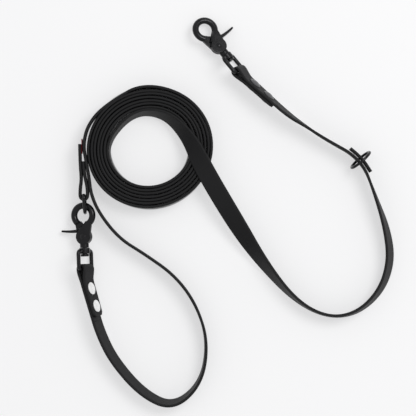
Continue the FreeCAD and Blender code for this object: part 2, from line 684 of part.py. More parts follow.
def dring_tab():
    """The strip folded round the D-ring's bar, on edge beside the main strap."""
    corners = [(Vector(x, y, RAISED), 0.0) for x, y in TAB_ROUTE]
    path, arcs, length = rounded_path(corners)
    return strap_along(path)


def plain_tag():
    """The small woven tag between the tab and the strap."""
    box = Part.makeBox(TAG_THICKNESS, TAG_LENGTH, TAG_HEIGHT)
    box.translate(TAG_START + Vector(-TAG_THICKNESS / 2, 0, RAISED - TAG_HEIGHT / 2))
    return box


def coil_plug(radius):
    """A strap's width of the space inside a turn of this radius, pushed aside and drawn out."""
    points = []
    for step in range(COIL_POINTS):
        angle = 360.0 * step / COIL_POINTS
        pushed = math.cos(math.radians(angle - COIL_PUSHED))
        drawn_out = math.cos(math.radians(2 * (angle - COIL_DRAWN_OUT)))
        points.append(COIL_CENTRE + heading(angle) * (radius + COIL_STRAY * (pushed + drawn_out)))
    curve = Part.BSplineCurve()
    curve.interpolate(points, PeriodicFlag=True)
    return Part.Face(Part.Wire([curve.toShape()])).extrude(UP * STRAP_WIDTH)


def coil():
    """The outer shape of the coil's turns."""
    outer = COIL_INNER_RADIUS + COIL_PITCH * COIL_TURNS
    return coil_plug(outer).cut(coil_plug(COIL_INNER_RADIUS))


# ---- putting it together -----------------------------------------------------------------------------
def run_along(route, end):
    """The free strap along a route that finishes square in a strap end."""
    finish, direction = end.route_end()
    corners = [(Vector(x, y, z), tilt) for x, y, z, tilt in route]
    corners.append((finish - direction * 11.0, end.end_tilt()))
    corners.append((finish, end.end_tilt()))
    path, arcs, length = rounded_path(corners)
    point, last_direction, tilt = path[-1]
    path[-1] = (finish, direction, tilt)
    return path, arcs, length, corners


def export(name, shape):
    """Checks a sub-part and writes it."""
    if not shape.isValid():
        raise RuntimeError(name + " isn't a valid shape")
    shape.exportStep("parts/" + name + ".step")
    box = shape.optimalBoundingBox(False)
    print("%-24s solids %d  volume %9.1f  z %6.2f to %6.2f" % (
        name, len(shape.Solids), shape.Volume, box.ZMin, box.ZMax))


def show(name, vector):
    print("POINT %-28s %9.3f %9.3f %9.3f" % (name, vector.x, vector.y, vector.z))


def export_snap(prefix, end, claw_x):
    """Writes a snap's pieces; claw_x is the direction of its lever, before it is squared to the axis."""
    axis = end.snap_direction
    bar, direction, width, face = end.frame_at(0.0)
    frame_place = axes_placement(end.bar, width, axis)
    lever_side = unit(claw_x - axis * claw_x.dot(axis))
    hook_place = axes_placement(end.bar, lever_side, axis)
    export(prefix + "_swivel_frame", placed(snap_frame(), frame_place))
    export(prefix + "_swivel_post", placed(swivel_post(), hook_place))
    export(prefix + "_hook", placed(snap_hook(), hook_place))
    export(prefix + "_jaw", placed(snap_jaw(), hook_place))
    export(prefix + "_pivot_pin", placed(pivot_pin(), hook_place))
    export(prefix + "_jaw_spring", placed(jaw_spring(), hook_place))
    show(prefix + "_bar", end.bar)
    show(prefix + "_bar_axis", width)
    show(prefix + "_axis", axis)
    show(prefix + "_pivot", end.bar + axis * BAR_TO_PIVOT)
    show(prefix + "_pivot_axis", lever_side.cross(axis))
    show(prefix + "_claw", end.bar + axis * (BAR_TO_PIVOT + PIVOT_TO_CLAW))


def main():
    os.makedirs("parts", exist_ok=True)
    lead_end = StrapEnd(LEAD_BAR, LEAD_SNAP_HEADING, LEAD_SNAP_SLOPE, LEAD_STRAP_HEADING,
                        LEAD_STRAP_SLOPE, LEAD_TILT_AT_BAR, LEAD_TILT_AT_TAIL, -1)
    handle_bar = HANDLE_CLAW - heading(HANDLE_SNAP_HEADING, HANDLE_SNAP_SLOPE) * (BAR_TO_PIVOT + PIVOT_TO_CLAW)
    handle_end = StrapEnd(handle_bar, HANDLE_SNAP_HEADING, HANDLE_SNAP_SLOPE, HANDLE_STRAP_HEADING,
                          HANDLE_STRAP_SLOPE, HANDLE_TILT_AT_BAR, HANDLE_TILT_AT_TAIL, 1)

    export("strap_coil", coil())
    routes = {}
    for name, route, end in (("strap_lead_run", LEAD_ROUTE, lead_end),
                             ("strap_handle_run", HANDLE_ROUTE, handle_end)):
        path, arcs, length, corners = run_along(route, end)
        strap = strap_along(path)
        export(name, strap)
        routes[name] = path, arcs
        print("%s length %.1f, volume / (section x length) %.4f" % (
            name, length, strap.Volume / (STRAP_WIDTH * STRAP_THICKNESS * length)))
        print("   radii", " ".join("%.0f" % radius for centre, radius in arcs))
        for index, (point, tilt) in enumerate(corners[-2:]):
            show(name + "_last_%d" % index, point)
        print("   end tilt %.2f" % corners[-1][1])

    for prefix, end in (("lead_end", lead_end), ("handle_end", handle_end)):
        export(prefix + "_fold", end.solid())
        posts, caps = end.rivets()
        export(prefix + "_rivet_posts", posts)
        export(prefix + "_rivet_caps", caps)

    lead_right = unit(lead_end.snap_direction.cross(UP))
    lead_lever = turned(lead_right, lead_end.snap_direction, LEAD_CLAW_TILT)
    export_snap("lead_snap", lead_end, lead_lever)
    handle_left = unit(UP.cross(handle_end.snap_direction))
    handle_lever = turned(handle_left, handle_end.snap_direction, HANDLE_CLAW_TILT)
    export_snap("handle_snap", handle_end, handle_lever)

    path, arcs = routes["strap_lead_run"]
    ring_arc = arcs[RING_CORNER - 1]
    before, corner, after = [Vector(*LEAD_ROUTE[RING_CORNER + i][:3]) for i in (-1, 0, 1)]
    ring_direction = unit(unit(corner - before) + unit(after - corner))
    export("o_ring", o_ring(ring_arc, ring_direction))
    export("ring_keeper", ring_keeper(ring_arc, ring_direction))
    show("ring_bend_centre", ring_arc[0])
    show("ring_direction", ring_direction)
    export("d_ring", d_ring())
    export("dring_tab", dring_tab())
    export("plain_tag", plain_tag())
    show("d_bar", D_BAR + UP * RAISED)


main()
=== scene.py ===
"""A training leash of flat coated webbing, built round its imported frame, in metres with +Z up."""
import math

import bmesh
import bpy
import numpy as np
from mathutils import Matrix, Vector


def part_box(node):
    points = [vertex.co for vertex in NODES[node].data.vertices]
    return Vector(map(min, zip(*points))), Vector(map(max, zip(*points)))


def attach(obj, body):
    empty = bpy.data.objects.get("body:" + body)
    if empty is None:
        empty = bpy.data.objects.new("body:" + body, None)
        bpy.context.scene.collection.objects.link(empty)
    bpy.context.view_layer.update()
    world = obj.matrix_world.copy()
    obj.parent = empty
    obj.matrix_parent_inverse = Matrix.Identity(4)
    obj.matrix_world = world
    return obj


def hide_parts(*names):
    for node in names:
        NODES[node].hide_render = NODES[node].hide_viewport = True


bl_info = {
    "name": "Training leash",
    "version": (1, 0, 0),
    "blender": (4, 5, 0),
    "location": "3D View > Sidebar > Leash",
    "description": "Builds a coiled webbing leash with its riveted ends, snaps, rings and tab",
    "category": "Object",
}

MM = 0.001
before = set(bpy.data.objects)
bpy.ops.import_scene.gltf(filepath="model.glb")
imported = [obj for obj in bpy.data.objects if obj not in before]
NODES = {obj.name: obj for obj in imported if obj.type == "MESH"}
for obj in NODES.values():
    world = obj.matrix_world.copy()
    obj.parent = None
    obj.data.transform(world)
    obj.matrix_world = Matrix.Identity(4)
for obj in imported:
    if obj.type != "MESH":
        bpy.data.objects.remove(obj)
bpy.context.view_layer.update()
UP = np.array([0.0, 0.0, 1.0])

# From the inside of the coil to the lead snap: x, y, height of the strap's centre, tilt.
LEAD_ROUTE = [
    (-84.8, 33.5, 8.15, 9.0),
    (-72.8, 49.0, 8.2, 11.0),
    (-44.8, 49.0, 10.5, 24.0),
    (-23.8, 28.5, 16.0, 44.0),
    (-11.8, 2.5, 18.8, 86.0),
    (13.2, -40.0, 15.5, 76.0),
    (38.2, -78.5, 10.5, 32.0),
    (67.2, -112.0, 8.3, 7.0),
    (95.2, -126.0, 8.1, 2.0),
    (120.2, -122.0, 8.2, 9.0),
    (140.2, -103.0, 8.1, 19.0),
    (148.5, -77.5, 8.1, 24.0),
    (145.2, -51.5, 9.0, 20.0),
    (135.2, -22.5, 11.3, 5.0),
    (123.1, 8.9, 11.3, 0.0),
    (91.6, 26.3, 11.3, 0.0),
    (74.2, 38.0, 12.2, 4.0),
    (60.349, 47.006, 15.226, 14.5),
    (52.180, 54.362, 14.842, 14.5),
]

# From the outside of the coil to the handle's snap.
HANDLE_ROUTE = [
    (-75.1, 66.4, 8.1, 0.0),
    (-95.1, 54.9, 8.2, 0.0),
    (-109.3, 38.5, 9.5, 0.0),
    (-113.4, 21.5, 11.3, 0.0),
    (-111.0, 8.0, 11.3, 0.0),
    (-108.3, -7.5, 11.3, 0.0),
    (-106.8, -20.5, 11.3, 0.0),
    (-99.8, -37.0, 10.2, 0.0),
    (-82.8, -58.5, 8.5, 0.0),
    (-60.8, -72.0, 8.1, 0.0),
    (-34.8, -90.5, 8.1, 0.0),
    (-16.8, -115.5, 8.1, 0.0),
    (-7.3, -146.5, 8.2, 2.0),
    (-12.8, -181.5, 8.2, 5.0),
    (-36.8, -202.5, 8.1, 16.0),
    (-62.8, -190.5, 8.1, 22.0),
    (-87.3, -162.5, 8.4, 24.0),
    (-98.930, -138.381, 10.802, 24.71),
    (-101.962, -127.808, 10.994, 24.71),
]

# The D-ring's tab, from the cut end beside the tag, round the bar, to the cut end inside.
TAB_ROUTE = [
    (-116.2, 21.7), (-115.9, 4.5), (-114.7, -7.5), (-116.0, -17.0), (-115.8, -25.2),
    (-109.6, -25.2), (-109.7, -15.5), (-111.8, -6.5), (-112.8, 0.5), (-113.2, 7.1),
]
STRAP_MIDDLE = 11.3 * MM                # height of the strap's centre where it is raised
COIL_CENTRE = np.array([-55.8, 18.7, 8.08]) * MM
COIL_PUSHED = math.radians(180.0)       # the way that the turns are pushed
COIL_DRAWN_OUT = math.radians(18.0)     # the line that they are drawn out along
COIL_FROM, COIL_TO = 190.0, 2590.0      # plan angles between which the turns follow the spiral
COIL_STEP = 3.0                         # degrees of the spiral between two points
COIL_RISE = 0.12 * MM                   # how unevenly the turns stand
JOIN_POINTS = 12                        # points in the curve from the spiral to a free strap

# A ring of floor that follows the coil's shape to within about half a millimetre, where the floor's glow is
# left out: painted shade under the coil.
UNDER_COIL = COIL_CENTRE[:2] - np.array([1.45, 0.0]) * MM
UNDER_COIL_RADIUS = 42.8 * MM
UNDER_COIL_HALF = 9.2 * MM
UNDER_COIL_EDGE = 0.8 * MM

RING_BEND = np.array([89.734, -20.186, 11.3]) * MM
RING_BEND_RADIUS = 42.0 * MM
RING_SPOKE_ANGLE = math.radians(41.07)
KEEPER_HALF_SPAN = math.radians(17.0)
KEEPER_LIFT = 0.55 * MM                 # how far the keeper's ends stand off the strap
KEEPER_POINTS = 41
TAG_THICKNESS = 0.62 * MM
TAG_CORNER = 0.25 * MM
TAG_WAVE = 0.12 * MM
TAG_POINTS = 24
CAMERA_OVER = (-7.3 * MM, -32.5 * MM)
CAMERA_LEVEL = 11 * MM                  # height at which the field is measured
LAMP_PLACE = (0.75, 0.6, 1.5)
LAMP_TARGET = (-0.01, -0.03, 0.0)
LAMP_SIZE = 0.9
FLOOR_REACH = 4.0
CORNER_POINTS = 6
FACE_POINTS = 7


# ---- settings ----------------------------------------------------------------------------------------
class LeashStrapSettings(bpy.types.PropertyGroup):
    """Sizes of the strap and how it is finished."""
    width: bpy.props.FloatProperty(
        name="Width", description="Flat width of the strap", default=16 * MM, unit="LENGTH")
    thickness: bpy.props.FloatProperty(
        name="Thickness", description="Thickness of the coated webbing", default=2.4 * MM, unit="LENGTH")
    corner: bpy.props.FloatProperty(
        name="Corner", description="Radius of the strap's long corners", default=1.0 * MM, unit="LENGTH")
    layer_gap: bpy.props.FloatProperty(
        name="Layer gap", description="Between two layers on each other", default=0.15 * MM, unit="LENGTH")
    colour: bpy.props.FloatVectorProperty(
        name="Coating", description="Colour of the coating", subtype="COLOR",
        default=(0.0060, 0.0060, 0.0066))
    coating_bloom: bpy.props.FloatVectorProperty(
        name="Bloom", description="Colour of the coating's paler clouds", subtype="COLOR",
        default=(0.0115, 0.0115, 0.0125))
    # Painted highlight: the strap's long edges get a paler colour where the light catches them.
    edge_highlight_colour: bpy.props.FloatVectorProperty(
        name="Edges", description="Colour of the rubbed edges", subtype="COLOR",
        default=(0.0085, 0.0085, 0.0090))
    grain: bpy.props.FloatProperty(
        name="Grain", description="Length of one cell of the weave", default=1.15 * MM, unit="LENGTH")


class LeashCoilSettings(bpy.types.PropertyGroup):
    """The spiral in which the spare strap is wound."""
    inner_radius: bpy.props.FloatProperty(
        name="Inner radius", description="Where the spiral would begin, at its plan angle of zero",
        default=32.35 * MM, unit="LENGTH")
    pitch: bpy.props.FloatProperty(
        name="Pitch", description="From one turn to the next", default=2.8 * MM, unit="LENGTH")
    stray: bpy.props.FloatProperty(
        name="Stray", description="How far the turns are pushed to one side, and drawn out",
        default=1.45 * MM, unit="LENGTH")
    straighten: bpy.props.FloatProperty(
        name="Straighten", description="Length of strap in which the inner end's lean fades out",
        default=38 * MM, unit="LENGTH")
    looseness: bpy.props.FloatProperty(
        name="Looseness", description="How far the turns stray from an even spiral", default=0.13 * MM,
        unit="LENGTH")


class LeashMetalSettings(bpy.types.PropertyGroup):
    """Finishes of the metal fittings."""
    black: bpy.props.FloatVectorProperty(
        name="Black plating", description="Colour of the plated fittings", subtype="COLOR",
        default=(0.008, 0.008, 0.009))
    black_roughness: bpy.props.FloatProperty(
        name="Plating roughness", description="Roughness of the plating", subtype="FACTOR", default=0.2)
    # Painted reflection: the handle end's caps are coloured near white, with little metal, to show the
    # bright floor they reflect.
    silver: bpy.props.FloatVectorProperty(
        name="Lit nickel", description="Colour of the handle end's rivets", subtype="COLOR",
        default=(0.97, 0.97, 0.97))
    # Painted shade: the lead end's caps are the same nickel, coloured darker where they face the shadowed
    # floor beside the strap.
    shaded_silver: bpy.props.FloatVectorProperty(
        name="Shaded nickel", description="Colour of the lead end's rivets", subtype="COLOR",
        default=(0.13, 0.13, 0.134))


class LeashStageSettings(bpy.types.PropertyGroup):
    """Floor, lights and camera."""
    floor_colour: bpy.props.FloatVectorProperty(
        name="Floor", description="Colour of the floor", subtype="COLOR", default=(0.42, 0.42, 0.422))
    glow: bpy.props.FloatProperty(
        name="Floor glow", description="Light that the floor gives off, which thins the shadows",
        default=0.53)
    key_power: bpy.props.FloatProperty(
        name="Key light", description="Power of the main light", default=13.0, unit="POWER")
    sky: bpy.props.FloatProperty(name="Sky", description="Strength of the even light", default=0.64)
    height: bpy.props.FloatProperty(
        name="Camera height", description="Camera above the floor", default=2.4, unit="LENGTH")
    field: bpy.props.FloatProperty(
        name="Field", description="Width of floor in view", default=353.6 * MM, unit="LENGTH")


GROUPS = {
    "leash_strap": LeashStrapSettings,
    "leash_coil": LeashCoilSettings,
    "leash_metal": LeashMetalSettings,
    "leash_stage": LeashStageSettings,
}


# ---- shader maths ------------------------------------------------------------------------------------
class Signal:
    """A shader socket that can stand in sums: each operator adds one Math node."""

    def __init__(self, shader, socket):
        self.shader, self.socket = shader, socket

    def maths(self, operation, *values):
        return self.shader.node("ShaderNodeMath", {"operation": operation}, dict(enumerate(values)))

    def __add__(self, other):
        return self.maths("ADD", self, other)

    def __radd__(self, other):
        return self.maths("ADD", other, self)

    def __sub__(self, other):
        return self.maths("SUBTRACT", self, other)

    def __rsub__(self, other):
        return self.maths("SUBTRACT", other, self)

    def __mul__(self, other):
        return self.maths("MULTIPLY", self, other)

    def __rmul__(self, other):
        return self.maths("MULTIPLY", other, self)

    def sin(self):
        return self.maths("SINE", self)

    def size(self):
        return self.maths("ABSOLUTE", self)

    def root(self):
        return self.maths("SQRT", self)

    def clamp(self):
        return self.shader.node("ShaderNodeClamp", {}, {"Value": self})


class Shader:
    """A material under construction."""

    def __init__(self, name):
        self.material = bpy.data.materials.new(name)
        self.material.use_nodes = True
        self.tree = self.material.node_tree
        self.tree.nodes.clear()

    def node(self, kind, settings, values, output=0):
        """Adds a node of this kind, applies its settings, then fills or links its sockets."""
        made = self.tree.nodes.new(kind)
        for key, value in settings.items():
            setattr(made, key, value)
        for key, value in values.items():
            if isinstance(value, Signal):
                self.tree.links.new(value.socket, made.inputs[key])
            else:
                made.inputs[key].default_value = value
        return Signal(self, made.outputs[output])

    def place(self):
        """Object coordinates, in metres."""
        return self.node("ShaderNodeTexCoord", {}, {}, "Object")

    def plan(self):
        """The x and y of the object coordinates."""
        split = self.tree.nodes.new("ShaderNodeSeparateXYZ")
        self.tree.links.new(self.place().socket, split.inputs[0])
        return Signal(self, split.outputs[0]), Signal(self, split.outputs[1])

    def lengthways(self):
        """Distances along and round the strap, in metres, from its own map."""
        uv = self.node("ShaderNodeUVMap", {"uv_map": "UVMap"}, {})
        split = self.tree.nodes.new("ShaderNodeSeparateXYZ")
        self.tree.links.new(uv.socket, split.inputs[0])
        return Signal(self, split.outputs[0]), Signal(self, split.outputs[1])

    def mark(self, name):
        """A value stored on the piece."""
        return self.node("ShaderNodeAttribute", {"attribute_name": name}, {}, "Fac")

    def noise(self, scale, detail=3.0, roughness=0.5):
        return self.node("ShaderNodeTexNoise", {}, {
            "Vector": self.place(), "Scale": scale, "Detail": detail, "Roughness": roughness})

    def mix(self, factor, first, second):
        """Between two colours."""
        def full(value):
            return value if isinstance(value, Signal) else (*value, 1.0)
        return self.node("ShaderNodeMix", {"data_type": "RGBA"},
                         {0: factor, 6: full(first), 7: full(second)}, 2)

    def finish(self, colour, roughness, metallic=0.0, height=None, depth=0.1 * MM, strength=1.0, **fixed):
        values = {"Base Color": colour if isinstance(colour, Signal) else (*colour, 1.0),
                  "Roughness": roughness, "Metallic": metallic}
        values.update({key.replace("_", " ").title().replace("Ior", "IOR"): value
                       for key, value in fixed.items()})
        if height is not None:
            values["Normal"] = self.node("ShaderNodeBump", {}, {
                "Strength": strength, "Distance": depth, "Height": height})
        body = self.node("ShaderNodeBsdfPrincipled", {}, values)
        out = self.tree.nodes.new("ShaderNodeOutputMaterial")
        self.tree.links.new(body.socket, out.inputs["Surface"])
        return self.material


def cached(build):
    """Each finish is made once."""
    made = {}

    def get():
        if build.__name__ not in made:
            made[build.__name__] = build()
        return made[build.__name__]
    return get


@cached
def coated_webbing():
    """Black coating over a fine weave: sin(along) times sin(round) cells, with a painted highlight on the
    edges.
    """
    strap = bpy.context.scene.leash_strap
    shader = Shader("coated_webbing")
    along, around = shader.lengthways()
    cell = 2 * math.pi / strap.grain
    weave = (along * cell).sin() * (around * (cell * 0.8)).sin()
    cloud = shader.noise(110.0, 4.0, 0.6)
    speck = shader.noise(1900.0, 2.0, 0.6)
    # Painted highlight on the long edges, broken up by the cloud.
    highlit = (shader.mark("edge") * (0.55 + cloud * 0.6)).clamp()
    colour = shader.mix(highlit, tuple(strap.colour), tuple(strap.edge_highlight_colour))
    bloom = (cloud * 0.5 + speck * 0.25 + weave * 0.10).clamp()
    colour = shader.mix(bloom, colour, tuple(strap.coating_bloom))
    roughness = 0.52 + cloud * 0.12 + weave * 0.05
    height = weave * 0.35 + speck * 0.5
    return shader.finish(colour, roughness, 0.0, height, 0.09 * MM, 0.7, specular_ior_level=0.2)


@cached
def black_plating():
    """Satin black plating, slightly cloudy, with fine pitting."""
    metal = bpy.context.scene.leash_metal
    shader = Shader("black_plating")
    cloud = shader.noise(190.0, 4.0, 0.6)
    pits = shader.noise(2600.0, 2.0, 0.5)
    black = tuple(metal.black)
    worn = tuple(channel * 2.0 for channel in black)
    colour = shader.mix((cloud * 1.5 - 0.45).clamp(), black, worn)
    roughness = metal.black_roughness - 0.05 + cloud * 0.14
    height = pits * 0.6 + cloud * 0.4
    return shader.finish(colour, roughness, 0.35, height, 0.04 * MM, 0.5, specular_ior_level=0.36)


# One nickel is made twice from this: a copy painted near white as a painted reflection, and a copy painted
# dark as painted shade.
def nickel(name, silver, metallic):
    """A cap with faint handling marks: its colour and roughness follow the same cloud."""
    shader = Shader(name)
    cloud = shader.noise(420.0, 4.0, 0.6)
    dull = tuple(channel * 0.86 for channel in silver)
    colour = shader.mix(cloud, silver, dull)
    return shader.finish(colour, 0.24 + cloud * 0.12, metallic, cloud, 0.02 * MM, 0.4)


@cached
def lit_nickel():
    """The handle end's caps, painted near white with little metal: a painted reflection of the bright floor.
    """
    return nickel("lit_nickel", tuple(bpy.context.scene.leash_metal.silver), 0.1)


@cached
def shaded_nickel():
    """The lead end's caps: the same nickel painted dark, as painted shade."""
    return nickel("shaded_nickel", tuple(bpy.context.scene.leash_metal.shaded_silver), 1.0)


@cached
def spring_wire():
    """Drawn spring steel."""
    shader = Shader("spring_wire")
    streak = shader.noise(900.0, 3.0, 0.6)
    colour = shader.mix(streak, (0.42, 0.42, 0.43), (0.6, 0.6, 0.6))
    return shader.finish(colour, 0.3 + streak * 0.15, 1.0, streak, 0.02 * MM, 0.4)


@cached
def red_tape():
    """Woven tape: crossing threads as sines along and round the tag."""
    shader = Shader("red_tape")
    along, around = shader.lengthways()
    thread = 2 * math.pi / (0.45 * MM)
    weave = (along * thread).sin() * (around * thread).sin()
    tint = shader.noise(700.0, 3.0, 0.6)
    lit = (0.5 + weave * 0.35 + tint * 0.2 - 0.1).clamp()
    colour = shader.mix(lit, (0.13, 0.006, 0.012), (0.27, 0.014, 0.026))
    return shader.finish(colour, 0.8, 0.0, weave, 0.06 * MM, 0.8)


@cached
def pale_floor():
    """Pale floor whose faint glow is 0 where |r - middle| < half, under the coil, and 1 outside it: painted
    shade in the gaps between the coil's turns.
    """
    stage = bpy.context.scene.leash_stage
    shader = Shader("pale_floor")
    tone = shader.noise(9.0, 2.0, 0.5)
    base = tuple(stage.floor_colour)
    colour = shader.mix(tone, base, tuple(channel * 0.992 for channel in base))
    x, y = shader.plan()
    off_x, off_y = x - float(UNDER_COIL[0]), y - float(UNDER_COIL[1])
    radius = (off_x * off_x + off_y * off_y).root()
    outside = (radius - UNDER_COIL_RADIUS).size() - UNDER_COIL_HALF
    # Painted shade: no glow in the ring under the coil.
    open_floor = (outside * (1 / UNDER_COIL_EDGE)).clamp()
    glow = tuple(channel * stage.glow for channel in (0.99, 0.99, 1.0))
    emission = shader.mix(open_floor, (0.0, 0.0, 0.0), glow)
    return shader.finish(colour, 0.85, 0.0, emission_color=emission, emission_strength=1.0)


# ---- meshes ------------------------------------------------------------------------------------------
def spline_points(points):
    """Points of the smooth NURBS line whose control points are these, as an (n, 3) array."""
    curve = bpy.data.curves.new("route", "CURVE")
    curve.dimensions = "3D"
    curve.resolution_u = 14
    spline = curve.splines.new("NURBS")
    spline.points.add(len(points) - 1)
    spline.points.foreach_set("co", np.c_[points, np.ones(len(points))].ravel())
    spline.order_u = 3
    spline.use_endpoint_u = True
    holder = bpy.data.objects.new("route", curve)
    mesh = bpy.data.meshes.new_from_object(holder)
    line = np.empty(len(mesh.vertices) * 3)
    mesh.vertices.foreach_get("co", line)
    bpy.data.meshes.remove(mesh)
    bpy.data.objects.remove(holder)
    bpy.data.curves.remove(curve)
    return line.reshape(-1, 3)


def normalised(vectors):
    return vectors / np.linalg.norm(vectors, axis=-1, keepdims=True)


def lean(direction, tilt):
    """The strap's width direction: up * cos(tilt) + left * sin(tilt), squared to its direction."""
    left = normalised(np.cross(UP, direction))
    tilt = np.asarray(tilt)[..., None]
    width = UP * np.cos(tilt) + left * np.sin(tilt)
    return normalised(width - direction * np.sum(width * direction, axis=-1, keepdims=True))


def travelled(line):
    """Distance along a line of points, 0 at its first."""
    steps = np.linalg.norm(np.diff(line, axis=0), axis=1)
    return np.concatenate([[0.0], np.cumsum(steps)])


def section(width, thickness, corner):
    """Once round a rounded rectangle: (across, through, is-edge) points.

    Each corner is centre + corner * (cos a, sin a) over a quarter turn, and the wide faces have points
    between their corners.
    """
    quarter = np.linspace(0.0, math.pi / 2, CORNER_POINTS)
    reach = np.linspace(1.0, -1.0, FACE_POINTS + 2)[1:-1]
    corners = ((1, 1, 0.0), (-1, 1, math.pi / 2), (-1, -1, math.pi), (1, -1, -math.pi / 2))
    x, y = width / 2 - corner, thickness / 2 - corner
    parts = []
    for sign_x, sign_y, start in corners:
        angles = start + quarter
        parts.append(np.c_[sign_x * x + corner * np.cos(angles), sign_y * y + corner * np.sin(angles),
                           np.ones(CORNER_POINTS)])
        if sign_x == sign_y:
            flat = np.full(FACE_POINTS, sign_y * thickness / 2)
            parts.append(np.c_[sign_x * x * reach, flat, np.zeros(FACE_POINTS)])
    return np.concatenate(parts)


def closed_tube(name, rings, along, around, marks=None):
    """A mesh whose (n, m, 3) rings of points are joined into a tube with capped ends."""
    count, size = rings.shape[:2]
    index = np.arange(count * size).reshape(count, size)
    after = np.roll(index, -1, axis=1)
    quads = np.stack([index[:-1], after[:-1], after[1:], index[1:]], axis=-1).reshape(-1, 4)
    faces = quads.tolist() + [index[0][::-1].tolist(), index[-1].tolist()]
    mesh = bpy.data.meshes.new(name)
    mesh.from_pydata(rings.reshape(-1, 3).tolist(), [], faces)

    u = np.broadcast_to(along[:, None], (count, size + 1))
    v = np.broadcast_to(around[None, :], (count, size + 1))
    grid = np.stack([u, v], axis=-1)
    side = np.stack([grid[:-1, :-1], grid[:-1, 1:], grid[1:, 1:], grid[1:, :-1]], axis=2).reshape(-1, 2)
    caps = np.concatenate([grid[0, :-1][::-1], grid[-1, :-1]])
    layer = mesh.uv_layers.new(name="UVMap")
    layer.data.foreach_set("uv", np.concatenate([side, caps]).ravel())
    if marks is not None:
        attribute = mesh.attributes.new("edge", "FLOAT", "POINT")
        attribute.data.foreach_set("value", np.broadcast_to(marks, (count, size)).ravel())
    smooth = np.ones(len(faces), dtype=bool)
    smooth[-2:] = False
    mesh.polygons.foreach_set("use_smooth", smooth)
    outward(mesh)
    return mesh


def outward(mesh):
    """Turns every face of a closed mesh outwards."""
    work = bmesh.new()
    work.from_mesh(mesh)
    bmesh.ops.recalc_face_normals(work, faces=work.faces)
    work.to_mesh(mesh)
    work.free()
    mesh.update()


def strap_mesh(name, centres, widths, faces, width_scale=None):
    """The strap's section carried along a line: c(s) + w(s) * across(t) + f(s) * through(t)."""
    strap = bpy.context.scene.leash_strap
    outline = section(strap.width, strap.thickness, strap.corner)
    scale = np.ones(len(centres)) if width_scale is None else width_scale
    rings = (centres[:, None] + widths[:, None] * (outline[None, :, :1] * scale[:, None, None])
             + faces[:, None] * outline[None, :, 1:2])
    loop = np.concatenate([outline[:, :2], outline[:1, :2]])
    return closed_tube(name, rings, travelled(centres), travelled(loop), outline[None, :, 2])


def strap_along(name, line, tilt, width_scale=None):
    """The strap along a line of points, leaning by tilt."""
    direction = normalised(np.gradient(line, axis=0))
    width = lean(direction, tilt)
    return strap_mesh(name, line, width, np.cross(direction, width), width_scale)


def add_piece(name, mesh, material, body, replaces=()):
    """Puts a finished mesh in the scene, on its body."""
    piece = bpy.data.objects.new(name, mesh)
    bpy.context.scene.collection.objects.link(piece)
    mesh.materials.clear()
    mesh.materials.append(material)
    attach(piece, body)
    if replaces:
        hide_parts(*replaces)
    return piece


def centreline(route):
    """The smooth line along a route's points."""
    return spline_points(np.array(route)[:, :3] * MM)


def free_strap(name, route):
    """The centreline and the mesh of the strap along a route, whose tilts are smoothed as its points are."""
    line = centreline(route)
    tilts = np.array(route)[:, 3]
    smooth = spline_points(np.c_[tilts, np.arange(len(tilts)), np.zeros(len(tilts))])
    return line, strap_along(name, line, np.radians(smooth[:, 0]))


# ---- operators ---------------------------------------------------------------------------------------
class LEASH_OT_camera(bpy.types.Operator):
    """Camera straight above, with a long lens"""
    bl_idname = "leash.camera"
    bl_label = "Camera"

    def execute(self, context):
        stage = context.scene.leash_stage
        data = bpy.data.cameras.new("overhead")
        data.sensor_width = 36.0
        data.lens = data.sensor_width * (stage.height - CAMERA_LEVEL) / stage.field
        data.clip_end = 20.0
        camera = bpy.data.objects.new("overhead", data)
        camera.location = (*CAMERA_OVER, stage.height)
        context.scene.collection.objects.link(camera)
        context.scene.camera = camera
        return {"FINISHED"}


class LEASH_OT_lead_run(bpy.types.Operator):
    """The free strap from the inside of the coil to the lead snap"""
    bl_idname = "leash.lead_run"
    bl_label = "Lead strap"

    def execute(self, context):
        line, mesh = free_strap("lead_strap", LEAD_ROUTE)
        piece = add_piece("lead_strap", mesh, coated_webbing(), "leash", ["strap_lead_run"])
        return {"FINISHED"}


class LEASH_OT_handle_run(bpy.types.Operator):
    """The free strap from the outside of the coil round the handle loop"""
    bl_idname = "leash.handle_run"
    bl_label = "Handle strap"

    def execute(self, context):
        line, mesh = free_strap("handle_strap", HANDLE_ROUTE)
        piece = add_piece("handle_strap", mesh, coated_webbing(), "leash", ["strap_handle_run"])
        return {"FINISHED"}


